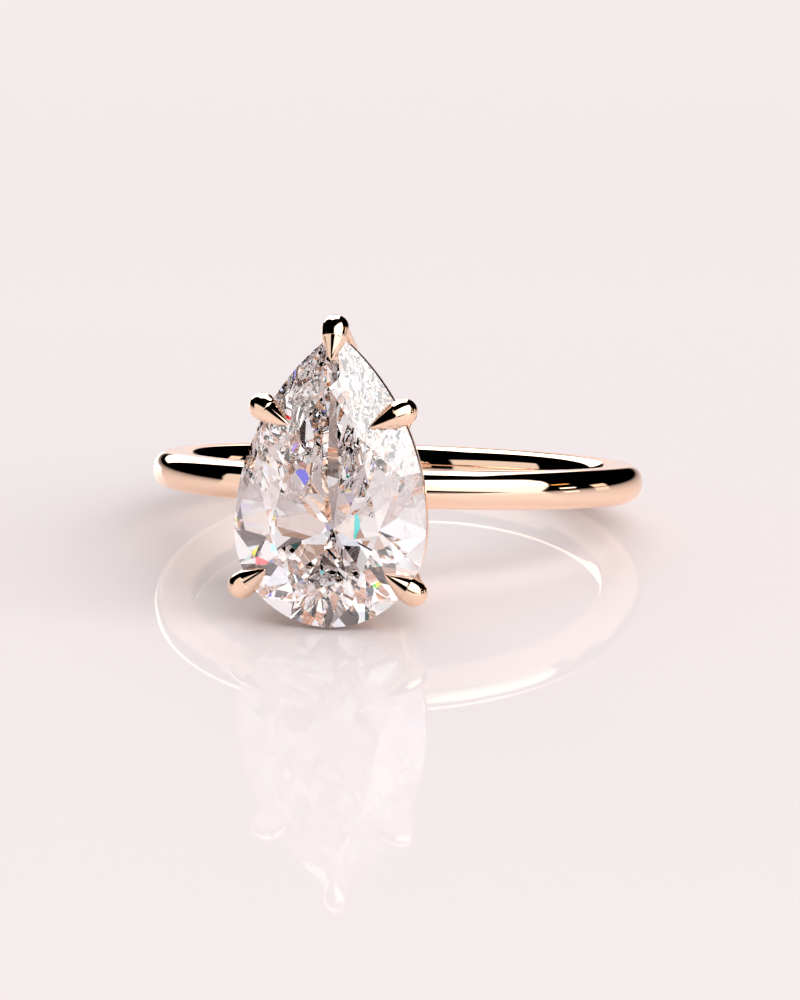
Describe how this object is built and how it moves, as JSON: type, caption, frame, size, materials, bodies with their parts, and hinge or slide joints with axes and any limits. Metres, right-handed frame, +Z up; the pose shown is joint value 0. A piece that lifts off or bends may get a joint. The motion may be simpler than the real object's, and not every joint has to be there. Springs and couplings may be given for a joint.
{
  "type": "solitaire engagement ring",
  "caption": "Rose gold ring with a pear-cut stone held by plump claws over two rails; it lies on its side, on the round end of its head and the back of the band.",
  "frame": {"origin": "centre of the bounding box's footprint, on the surface the ring lies on", "axes": "+Z up, -Y the way the stone faces, +X to the right as the stone is looked at; the ring lies on its side, its finger axis leaning about 10 degrees from +Z toward +Y"},
  "size_m": [0.02, 0.0258, 0.0119],
  "materials": {
    "rose_gold_shank": "mirror-polished rose gold",
    "rose_gold_head": "polished rose gold",
    "rose_gold_claws": "polished rose gold",
    "gemstone": "clear, brilliant facets"
  },
  "bodies": {
    "root": {"shank": "rose_gold_shank", "stone": "gemstone", "gallery_rail": "rose_gold_head", "base_rail": "rose_gold_head", "claw_point": "rose_gold_claws", "claw_shoulder_left": "rose_gold_claws", "claw_shoulder_right": "rose_gold_claws", "claw_round_left": "rose_gold_claws", "claw_round_right": "rose_gold_claws"}
  },
  "joints": []
}
